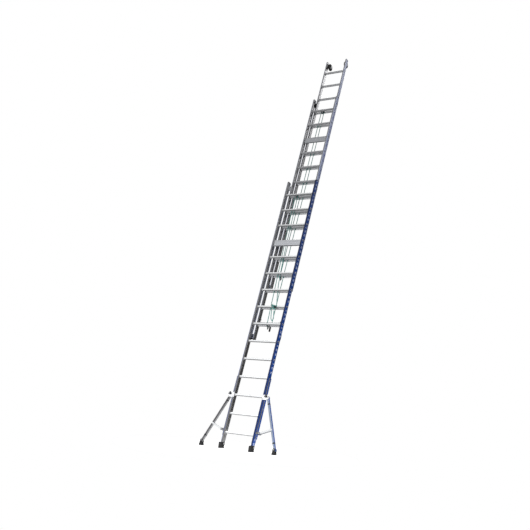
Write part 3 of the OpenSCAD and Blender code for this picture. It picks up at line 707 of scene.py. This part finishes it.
CAPS_AND_GUIDES = ["base_top_caps", "middle_top_caps", "fly_top_caps", "base_guide_liners",
                   "middle_glides", "fly_glides", "middle_guides", *both("leg_cap")]
HAND_PARTS = [*both("clamp_knob"), "rope_cleat"]
PLATED = ["base_pulley_bracket", "middle_pulley_bracket", "base_shoe_pins", "strut_pins",
          *both("slider_bolt"), "middle_hook_lugs", "fly_hook_lugs"]
FINISHES = {
    BLACK: [*CAPS_AND_GUIDES, *HAND_PARTS, "base_pulley_wheel", "middle_pulley_wheel"],
    BRACKET: ["base_guides", "wheel_brackets"],
    ZINC: [*PLATED, "middle_hook_shaft", "fly_hook_shaft"],
    CAST: ["middle_hooks", "fly_hooks"],
    DARK_STEEL: ["fly_rope_hook"],
    RUBBER: [*both("base_shoe"), *both("stabiliser_foot")],
    TYRE: both("wall_wheel"),
    SLIDER: both("stabiliser_slider"),
    STRUT: both("stabiliser_strut"),
    ROPE: ["middle_rope_knot", "fly_rope_knot"],
}
for section in SECTIONS:
    FINISHES[STILE[section.name]] = both(f"{section.name}_stile")
    FINISHES[RUNG[section.name]] = [f"{section.name}_rungs"]
FINISHES[plate_finish(BASE, BASE.rung(12) + 8 * MM)] = ["base_label_plate"]
FINISHES[plate_finish(MIDDLE, MIDDLE.rung(13) + 8 * MM)] = ["middle_label_plate"]
for side, sign in SIDES.items():
    FINISHES[blue_metal_finish(f"leg_{side}_finish", (LEAN, sign * LEG_ANGLE, 0), sign,
                               LEG_LIT_AND_SHADED_TONE[side])] = [f"stabiliser_leg_{side}"]
FINISHES[blue_metal_finish("rail_finish", (LEAN, 0, 0), 0)] = ["stabiliser_rails"]
for material, names in FINISHES.items():
    for name in names:
        nodes[name].data.materials.clear()
        nodes[name].data.materials.append(material)


# ---------- small parts used again and again ----------
def bolt_head(shape, place, radius, height, finish=0):
    """Hex head on a washer, with a chamfered top; place's z points away from the surface."""
    washer_t = 1.4 * MM
    shape.lathe(place, [(0, 0), (radius * 1.35, 0), (radius * 1.35, washer_t * 0.7),
                        (radius * 1.28, washer_t), (0, washer_t)], 28, finish=finish)
    rings = [(0.96, washer_t), (1.0, washer_t + 0.4 * MM), (1.0, height - 0.8 * MM),
             (0.88, height)]
    made = [shape.ring(place @ Vector((x * k, y * k, z)) for x, y in circle(radius, 6))
            for k, z in rings]
    shape.skin(made, finish=finish)
    shape.cap(made[0], finish)
    shape.cap(made[-1], finish)


def nut_on_stud(shape, place, radius, height, finish=0):
    """Nut with the rounded end of its bolt standing out of it."""
    bolt_head(shape, place, radius, height, finish)
    stud = radius * 0.55
    shape.lathe(place, [(0, height * 0.6), (stud, height * 0.6), (stud, height + 2.2 * MM),
                        (stud * 0.8, height + 3 * MM), (0, height + 3 * MM)], 20, finish=finish)


def rivet(shape, place, radius, height, finish=0):
    """Domed rivet head with a flat rim and the dimple of its mandrel."""
    dome = [(0, 0), (radius, 0), (radius, 0.25 * height)]
    for k in range(1, 5):
        a = math.pi / 2 * k / 5
        dome.append((radius * (0.92 * math.cos(a) + 0.02), height * (0.25 + 0.75 * math.sin(a))))
    dome += [(radius * 0.30, height), (radius * 0.26, height * 0.7), (0, height * 0.7)]
    shape.lathe(place, dome, 20, finish=finish)


def sideways(sign, x, v, u, inward=False):
    """A frame on a face of the right (sign 1) or left (sign -1) stile."""
    return facing(sign * x, v, u, (-sign if inward else sign, 0, 0))


# ---------- stiles and rungs ----------
def rung_collars(section):
    """Swaged collar where each rung enters a stile."""
    shape = Shape()
    half, mouth, thick = 16.5 * MM, HALF_RUNG - 0.3 * MM, 3.2 * MM
    levels = ((half, 0), (half, thick * 0.45), (half - 0.8 * MM, thick * 0.85),
              (half - 1.6 * MM, thick), (mouth, thick * 0.8), (mouth, 0))
    for sign in SIGNS:
        for number in range(1, RUNG_COUNT + 1):
            place = sideways(sign, section.inner, section.depth, section.rung(number), True)
            shape.square_collar(place, levels, 4.2 * MM)
    shape.build(f"{section.name}_rung_collars", (RUNG[section.name],), section.body)


def rung_crimps():
    """Flared rung ends on the outer faces of the base stiles, above the stabiliser rails."""
    shape = Shape()
    levels = [(half * MM, z * MM) for half, z in (
        (15.6, 0), (15.6, 0.7), (14.6, 1.5), (12.2, 1.6), (11.2, 0.7), (11.2, 0))]
    for sign in SIGNS:
        for number in range(5, RUNG_COUNT + 1):
            place = sideways(sign, BASE.outer - 0.2 * MM, 0, BASE.rung(number))
            shape.square_collar(place, levels, 3.6 * MM)
    shape.build("base_rung_crimps", (RUNG["base"],), BASE.body)


def stile_rivets(section):
    """Rivets of the top caps and of the guides or the wheel brackets."""
    shape = Shape()
    for sign in SIGNS:
        for dv in (14, -14):
            rivet(shape, sideways(sign, section.inner, section.depth + dv * MM,
                                  section.top - 16 * MM, True), 4 * MM, 1.6 * MM)
    if section is BASE:
        for sign in SIGNS:
            for up in (18, 62):
                rivet(shape, sideways(sign, BASE.outer, -8 * MM, BASE.top - (120 - up) * MM),
                      6 * MM, 2 * MM)
    shape.build(f"{section.name}_rivets", (ZINC,), section.body)


def cap_ribs(section):
    """Grip ribs across the crown of the top caps."""
    shape = Shape()
    for sign in SIGNS:
        for step in range(-2, 3):
            place = leaning(sign * section.middle_x, section.depth + step * 7 * MM,
                            section.top + 14 * MM)
            half = section.stile_w / 2 - 6.6 * MM
            shape.prism(place, round_rect(2 * half, 2.4 * MM, 1.1 * MM), -3.2 * MM, 2.9 * MM)
    shape.build(f"{section.name}_cap_ribs", (BLACK,), section.body, 0.4 * MM)


def glide_details(section, front_section):
    """Rivets and wear ribs on the outboard block of a raised section's glides."""
    shape = Shape()
    face = front_section.middle_x + 9 * MM
    depth = front_section.back + 8 * MM
    for sign in SIGNS:
        for up in (12, 46):
            rivet(shape, sideways(sign, face, depth, section.bottom + up * MM), 4.5 * MM,
                  1.8 * MM, 1)
        for up in (22, 29, 36):
            place = sideways(sign, face - 0.6 * MM, depth, section.bottom + up * MM)
            shape.prism(place, round_rect(11 * MM, 2.6 * MM, 1.2 * MM), 0, 1.8 * MM)
    shape.build(f"{section.name}_glide_details", (BLACK, ZINC), section.body,
                0.3 * MM)


# ---------- hooks ----------
def hook_details(section):
    """Torsion springs and collars round the hook shaft, and rivets of its lugs."""
    shape = Shape()
    depth, up = section.depth - 17 * MM, section.first + 38 * MM
    shaft = 6 * MM
    wire = 1.1 * MM
    turns, per_turn = 7, 14
    coil_r = shaft + wire + 0.5 * MM
    for sign in SIGNS:
        start = section.inner - 19 * MM
        line = [at(sign * (start + 2 * MM), depth - 22 * MM, up - 6 * MM)]
        for k in range(turns * per_turn + 1):
            a = 2 * math.pi * k / per_turn - math.pi / 2
            x = start - k / per_turn * 2.9 * MM
            line.append(at(sign * x, depth + coil_r * math.cos(a), up + coil_r * math.sin(a)))
        line.append(at(sign * (start - turns * 2.9 * MM), depth + 13 * MM, up - coil_r))
        shape.tube(line, wire, 6)
        collar = sideways(sign, start - 26 * MM, depth, up, True)
        shape.collar(collar, circle(10 * MM, 28), circle(shaft + 0.2 * MM, 28), 0, 7 * MM)
        for dv in (-7, 7):
            rivet(shape, sideways(sign, section.inner - 3 * MM, depth + dv * MM,
                                  up - 18 * MM, True), 2.6 * MM, 1.3 * MM)
    shape.build(f"{section.name}_hook_springs", (ZINC,), section.body)


# ---------- pulleys ----------
def pulley_details(section, x, channel, up):
    """Axle nut and head, and the two bands that tie the bracket to its rung."""
    shape = Shape()
    cheek = 13 * MM
    nut_at = facing(x, channel - cheek, up, FRONT)
    bolt_head(shape, nut_at, 6 * MM, 4.4 * MM)
    head_at = facing(x, channel + cheek, up, BACK)
    rivet(shape, head_at, 8 * MM, 2.6 * MM)
    for dx in (-1, 1):
        band = []
        reach = HALF_RUNG + 1.3 * MM
        for cv, cu, first in ((1, 1, 0), (-1, 1, 90), (-1, -1, 180), (1, -1, 270)):
            for k in range(4):
                a = math.radians(first + 30 * k)
                band.append(at(x + dx * 16 * MM,
                               section.depth + cv * (reach - 4 * MM) + 4 * MM * math.cos(a),
                               up + cu * (reach - 4 * MM) + 4 * MM * math.sin(a)))
        shape.tube(band, 1.9 * MM, 8, True)
    shape.build(f"{section.name}_pulley_fixings", (ZINC,), section.body)


def sheave_rims(section, x, channel, up):
    """Bush and rolled rims of a pulley wheel."""
    shape = Shape()
    for sign, way in ((-1, FRONT), (1, BACK)):
        place = facing(x, channel + sign * 9 * MM, up, way)
        shape.collar(place, circle(8.5 * MM, 28), circle(5.4 * MM, 28), -1.5 * MM, 0.6 * MM, 1)
        shape.collar(place, circle(21.5 * MM, 40), circle(20 * MM, 40), -0.6 * MM, 0.5 * MM)
    shape.build(f"{section.name}_pulley_bush", (BLACK, ZINC),
                f"{section.name}_pulley")


# ---------- ropes' ends ----------
def rung_hitch(name, section, x, start_v, start_u):
    """Two turns of rope round the lowest rung of a section, ending in a stopper knot."""
    mid_v, mid_u = section.depth / MM, section.first / MM
    steps, per_turn, spread, wrap_r = 27, 12, 7, 24.6
    points = [(x, start_v, start_u), (x + 1, start_v + 4, start_u - 16)]
    for k in range(steps + 1):
        a = math.pi + 2 * math.pi * k / per_turn
        points.append((x - spread + 2 * spread * k / steps, mid_v + wrap_r * math.cos(a),
                       mid_u + wrap_r * math.sin(a)))
    points += [(x + spread, mid_v - 4, mid_u - 34), (x + spread, mid_v - 3, mid_u - 50),
               (x + 6, mid_v - 4, mid_u - 66)]
    piece, _ = rope(name, in_mm(points), (WHIPPING, WHIPPING))
    shape = Shape()
    centre = at((x + spread) * MM, (mid_v - 4) * MM, (mid_u - 42) * MM)
    knot = []
    knot_points = 54
    for k in range(knot_points):
        t = 2 * math.pi * k / knot_points
        knot.append(centre + 3.4 * MM * (LADDER.to_3x3() @ Vector((
            math.sin(t) + 2 * math.sin(2 * t), math.cos(t) - 2 * math.cos(2 * t),
            -1.6 * math.sin(3 * t)))))
    shape.tube(knot, 4.6 * MM, 10, True)
    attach(piece, section.body)
    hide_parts(f"{section.name}_rope_knot")
    shape.build(name + "_stopper", (WHIPPING,), section.body)


def hook_ferrule():
    """Crimped sleeve and eye that join the fly rope to its sprung hook, and the hook's bands."""
    shape = Shape()
    place = facing(6 * MM, 98.5 * MM, 1968 * MM, (0, -0.12, -1))
    shape.lathe(place, [(0, 0), (7.4 * MM, 0), (8.2 * MM, 2 * MM), (8.2 * MM, 9 * MM),
                        (7.2 * MM, 11 * MM), (8.2 * MM, 13 * MM), (8.2 * MM, 22 * MM),
                        (7.2 * MM, 24 * MM), (0, 24 * MM)], 24)
    eye = [at(6 * MM, (92.5 + 6.5 * math.cos(a)) * MM, (1934 + 12 * math.sin(a)) * MM)
           for a in (2 * math.pi * k / 20 for k in range(20))]
    shape.tube(eye, 2.3 * MM, 8, True)
    for up in (1840, 1882):
        collar = facing(6 * MM, 84 * MM, up * MM, (0, 0, 1))
        shape.collar(collar, circle(14.4 * MM, 28), circle(12.8 * MM, 28), 0, 4 * MM)
    shape.build("fly_rope_ferrule", (DARK_STEEL,), MIDDLE.body, 0.4 * MM)


# ---------- wheels ----------
WHEEL_V = FLY.depth + 54 * MM
WHEEL_U = FLY.rung(RUNG_COUNT) + 175 * MM


def wheel_details(side, sign):
    """Hub ribs in both recesses of a wall wheel."""
    shape = Shape()
    hub, rim = 21 * MM, 41 * MM
    half = 14 * MM
    centre = at(sign * (FLY.inner - 6 * MM - half), WHEEL_V, WHEEL_U)
    for way in (-1, 1):
        face = aim(centre + way * half * ACROSS, way * ACROSS)
        for k in range(6):
            turn = Matrix.Rotation(2 * math.pi * k / 6, 4, "Z")
            shape.prism(face @ turn, [(hub, -2 * MM), (rim, -3.2 * MM), (rim, 3.2 * MM),
                                      (hub, 2 * MM)], -5.5 * MM, -1.2 * MM)
        shape.collar(face, circle(20 * MM, 40), circle(16 * MM, 40), -1 * MM, 0.6 * MM)
    shape.build(f"wall_wheel_ribs_{side}", (TYRE,), f"wheel_{side}", 0.5 * MM)


def wheel_bracket_details():
    """Nuts on the wheel axles and on the bolts of their brackets."""
    shape = Shape()
    for sign in SIGNS:
        nut_on_stud(shape, sideways(sign, FLY.inner - 41 * MM, WHEEL_V, WHEEL_U, True),
                    8 * MM, 6 * MM)
        for dz in (-24, 24):
            bolt_head(shape, sideways(sign, FLY.inner - 8 * MM, FLY.depth - 10 * MM,
                                      WHEEL_U + dz * MM, True), 4.4 * MM, 3.4 * MM)
    shape.build("wheel_fixings", (ZINC,), FLY.body)


# ---------- stabilisers and shoes ----------
SLIDER_FACE = 38 * MM
PIVOT_X = 325 * MM
PIVOT_U = 780 * MM
KNOB_X, KNOB_U = 310 * MM, 792 * MM


def rail_bolts():
    shape = Shape()
    for sign in SIGNS:
        for up in (205, 400, 610, 1040):
            bolt_head(shape, sideways(sign, 290 * MM, 0, up * MM), 5.5 * MM, 4.6 * MM)
    shape.build("stabiliser_rail_bolts", (ZINC,), BASE.body)


def rail_end_plugs():
    """Plastic plugs in the tops of the stabiliser rails."""
    shape = Shape()
    for sign in SIGNS:
        place = leaning(sign * 280 * MM, 0, 1070 * MM)
        shape.prism(place, round_rect(19.6 * MM, 33.6 * MM, 3 * MM), -0.5 * MM, 3 * MM)
        shape.prism(place, round_rect(13 * MM, 26 * MM, 3 * MM), 2.5 * MM, 5 * MM)
    shape.build("stabiliser_rail_plugs", (BLACK,), BASE.body, 0.7 * MM)


def slider_details(side, sign):
    """Bolts and the raised rim of a slider's front plate."""
    shape = Shape()
    for x, up in ((254, 756), (254, 806), (330, 754)):
        bolt_head(shape, facing(sign * x * MM, -SLIDER_FACE, up * MM, FRONT), 5.5 * MM,
                  5 * MM, 1)
    place = facing(sign * 292 * MM, -SLIDER_FACE, PIVOT_U, FRONT)
    outer = round_rect(90 * MM, 68 * MM, 6 * MM)
    inner = round_rect(85 * MM, 63 * MM, 4 * MM)
    shape.collar(place, outer, inner, -0.5 * MM, 1.3 * MM)
    shape.build(f"slider_fixings_{side}", (SLIDER, ZINC), f"slider_{side}",
                0.3 * MM)


def knob_details(side, sign):
    """Washer, metal insert and finger dimple ring of a clamp knob."""
    shape = Shape()
    place = facing(sign * KNOB_X, -SLIDER_FACE - 0.4 * MM, KNOB_U, FRONT)
    shape.collar(place, circle(13 * MM), circle(5 * MM), 0, 1.6 * MM, 1)
    shape.lathe(place, [(0, 23 * MM), (6 * MM, 23 * MM), (6 * MM, 25 * MM),
                        (4.6 * MM, 26 * MM), (0, 25.2 * MM)], 24, finish=1)
    shape.collar(place, circle(13.5 * MM, 36), circle(11 * MM, 36), 23 * MM, 25 * MM)
    for a in (math.radians(degrees) for degrees in (90, 210, 330)):
        lobe = facing(sign * KNOB_X + 17 * MM * math.cos(a), -SLIDER_FACE - 0.4 * MM,
                      KNOB_U + 17 * MM * math.sin(a), FRONT)
        shape.collar(lobe, circle(6.2 * MM, 24), circle(4.4 * MM, 24), 21.6 * MM, 22.8 * MM)
    shape.build(f"clamp_knob_insert_{side}", (BLACK, ZINC), f"knob_{side}",
                0.3 * MM)


def leg_frame(sign):
    """Axes of a stabiliser leg: origin at its upper pivot, z up the leg."""
    turn = Matrix.Rotation(-sign * LEG_ANGLE, 4, "Y")
    return Matrix.Translation(at(sign * PIVOT_X, 0, PIVOT_U)) @ LADDER @ turn


LEG_LENGTH = 772.2 * MM


def leg_details(side, sign):
    """Nuts on a leg's lower pin, and grip pads on its faces."""
    shape = Shape()
    leg = leg_frame(sign)
    for way in (-1, 1):
        foot_pin = leg @ Matrix.Translation((0, way * 27 * MM, -LEG_LENGTH)) @ Matrix.Rotation(
            -way * math.pi / 2, 4, "X")
        nut_on_stud(shape, foot_pin, 6.5 * MM, 5 * MM, 1)
    for along in (-95, -LEG_LENGTH / MM + 95):
        band = leg @ Matrix.Translation((0, 0, along * MM))
        shape.collar(band, round_rect(31.6 * MM, 35.0 * MM, 3.6 * MM),
                     round_rect(29.6 * MM, 33.6 * MM, 3 * MM), -9 * MM, 9 * MM)
    shape.build(f"leg_fixings_{side}", (BLACK, ZINC), f"leg_{side}", 0.3 * MM)


def shoe_pin_nuts():
    shape = Shape()
    for sign in SIGNS:
        nut_on_stud(shape, sideways(sign, 282 * MM, 0, 62 * MM), 8 * MM, 6 * MM)
        rivet(shape, sideways(sign, BASE.inner - 12 * MM, 0, 62 * MM, True), 8 * MM, 2.4 * MM)
    shape.build("shoe_pin_nuts", (ZINC,), BASE.body)


def strut_pin_caps():
    """Spring clips over the outer ends of the strut pins."""
    shape = Shape()
    for sign in SIGNS:
        for way, direction in ((-1, FRONT), (1, BACK)):
            rivet(shape, facing(sign * PIVOT_X, way * 31.6 * MM, 265 * MM, direction),
                  7 * MM, 2.2 * MM)
    shape.build("strut_pin_caps", (ZINC,), BASE.body)


CLEAT_X, CLEAT_U, CLEAT_TILT = 63, 2178, math.radians(25)
# Points on the cleat, in millimetres: along its horn, across it, and depth
FIGURE_EIGHT = [(48, -19, -29), (46, -27, -38), (35, -25, -52), (0, 0, -60), (-30, 20, -54),
                (-42, 22, -40), (-44, 6, -28), (-41, -12, -30), (-34, -20, -42),
                (-22, -17, -57), (0, 3, -73), (20, 19, -58), (26, 24, -42), (25, 10, -28),
                (22, -12, -27), (10, -25, -27), (-2, -24, -28), (-12, -24, -28),
                (-23, -31, -28)]


def cleat_details():
    """Screws of the cleat's foot, and the turns that the fall takes before its tail."""
    shape = Shape()
    for dx in (-10, 10):
        rivet(shape, facing((CLEAT_X + dx) * MM, -22 * MM, (CLEAT_U + 18 - 1.6 * dx) * MM,
                            FRONT), 2.6 * MM, 1.4 * MM)
    shape.build("rope_cleat_screws", (ZINC,), BASE.body)
    c, s = math.cos(CLEAT_TILT), math.sin(CLEAT_TILT)
    turns = [(CLEAT_X + c * along + s * across, v, CLEAT_U - s * along + c * across)
             for along, across, v in FIGURE_EIGHT]
    piece, _ = rope("rope_cleat_turns", in_mm([MIDDLE_FALL[-1]] + turns + [TAIL_START]))
    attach(piece, BASE.body)


def plate_trim(section, number):
    """Screws in the lower corners of a label plate, and a raised rim below the hooks' reach."""
    shape = Shape()
    face = section.depth - HALF_RUNG - 2 * MM
    up = section.rung(number)
    for sign in SIGNS:
        corner = facing(sign * (section.inner - 21 * MM), face, up - 82 * MM, FRONT)
        rivet(shape, corner, 5.5 * MM, 1.8 * MM)
    wide = 2 * section.inner
    shape.collar(facing(0, face, up - 54.5 * MM, FRONT),
                 round_rect(wide - 7 * MM, 90 * MM, 3 * MM),
                 round_rect(wide - 10 * MM, 87 * MM, 2 * MM), -0.4 * MM, 0.7 * MM)
    shape.build(f"{section.name}_plate_screws", (ZINC,), section.body)


for section in SECTIONS:
    rung_collars(section)
    stile_rivets(section)
    cap_ribs(section)
rung_crimps()
glide_details(MIDDLE, BASE)
glide_details(FLY, MIDDLE)
hook_details(MIDDLE)
hook_details(FLY)
for details in (pulley_details, sheave_rims):
    for section in (BASE, MIDDLE):
        details(section, *(number * MM for number in PULLEYS[section.name]))
rung_hitch("rope_middle_hitch", MIDDLE, *MIDDLE_LIFT[-1])
rung_hitch("rope_fly_hitch", FLY, *FLY_LIFT[-1])
hook_ferrule()
wheel_bracket_details()
rail_bolts()
rail_end_plugs()
shoe_pin_nuts()
strut_pin_caps()
cleat_details()
plate_trim(BASE, 12)
plate_trim(MIDDLE, 13)
for side, sign in SIDES.items():
    wheel_details(side, sign)
    slider_details(side, sign)
    knob_details(side, sign)
    leg_details(side, sign)

# ---------- edges of the frame's own nodes ----------
# Small radii catch the light; the welds join the corners that the import splits
EDGES = {
    0.6 * MM: [*CAPS_AND_GUIDES, *PLATED, "base_label_plate", "middle_label_plate",
               "stabiliser_rails", *FINISHES[BRACKET], *FINISHES[CAST], *FINISHES[STRUT],
               *FINISHES[SLIDER]],
    1.5 * MM: [*HAND_PARTS, *FINISHES[RUBBER], *FINISHES[TYRE]],
}
for width, names in EDGES.items():
    for name in names:
        weld = nodes[name].modifiers.new("weld", "WELD")
        weld.merge_threshold = 0.01 * MM
        add_bevel(nodes[name], width)


# ---------- floor and light ----------
def make_floor():
    shape = Shape()
    shape.lathe(Matrix.Identity(4), [(0, 0), (FLOOR_RADIUS, 0)], 96)
    finish = Finish("floor_finish")
    tone = finish.spread(finish.noise((0.6, 0.6, 0.6)), 0.3, 0.7, 0.99, 1.0)
    white = finish.mix(tone, (0, 0, 0), (0.90, 0.90, 0.90))
    floor = shape.build("floor", (finish.done(white, 0.85),))


def add_lamp(name, kind, place, target, power, size, glossy=True):
    """A soft lamp at place that shines on target; size is metres, or degrees for a sun.

    Where glossy is False, the lamp lights surfaces but isn't mirrored in them.
    """
    data = bpy.data.lights.new(name, kind)
    data.energy = power
    if kind == "SUN":
        data.angle = math.radians(size)
    else:
        data.shape = "DISK"
        data.size = size
    lamp = bpy.data.objects.new(name, data)
    lamp.matrix_world = aim(place, Vector(place) - Vector(target))
    lamp.visible_glossy = glossy
    scene.collection.objects.link(lamp)


def make_world():
    """White behind the object; the light itself is stronger from the front and left."""
    world = bpy.data.worlds.new("studio")
    scene.world = world
    world.use_nodes = True
    tree = world.node_tree
    direction = tree.nodes.new("ShaderNodeTexCoord").outputs["Generated"]
    toward = tree.nodes.new("ShaderNodeVectorMath")
    toward.operation = "DOT_PRODUCT"
    toward.inputs[1].default_value = WORLD_BRIGHT
    tree.links.new(direction, toward.inputs[0])
    amount = tree.nodes.new("ShaderNodeMapRange")
    for socket, number in zip(amount.inputs[1:5], (WORLD_FROM, 1, *WORLD_RANGE)):
        socket.default_value = number
    tree.links.new(toward.outputs["Value"], amount.inputs[0])
    seen = tree.nodes.new("ShaderNodeLightPath").outputs["Is Camera Ray"]
    strength = tree.nodes.new("ShaderNodeMix")
    tree.links.new(seen, strength.inputs[0])
    tree.links.new(amount.outputs[0], strength.inputs[2])
    strength.inputs[3].default_value = 1.0
    tree.links.new(strength.outputs[0], tree.nodes["Background"].inputs["Strength"])
    tree.nodes["Background"].inputs["Color"].default_value = (1, 1, 1, 1)


FLOOR_RADIUS = 1.7
WORLD_BRIGHT = (-0.35, -0.80, 0.49)
WORLD_FROM, WORLD_RANGE = -0.3, (0.03, 0.50)
make_floor()
make_world()
add_lamp("softbox", "AREA", (0.8, -3.8, 1.2), (0, 0.4, 1.3), 310, 1.5, False)
add_lamp("overhead", "SUN", (-2.0, 3.5, 9.0), (0, 0, 0), 3.1, 40)
add_lamp("side", "SUN", (8.0, -5.0, 4.0), (0, 0, 0), 0.42, 50)
add_lamp("back", "SUN", (4.6, 7.4, 5.0), (0, 0, 0), 0.62, 14)
scene.view_settings.view_transform = "Standard"
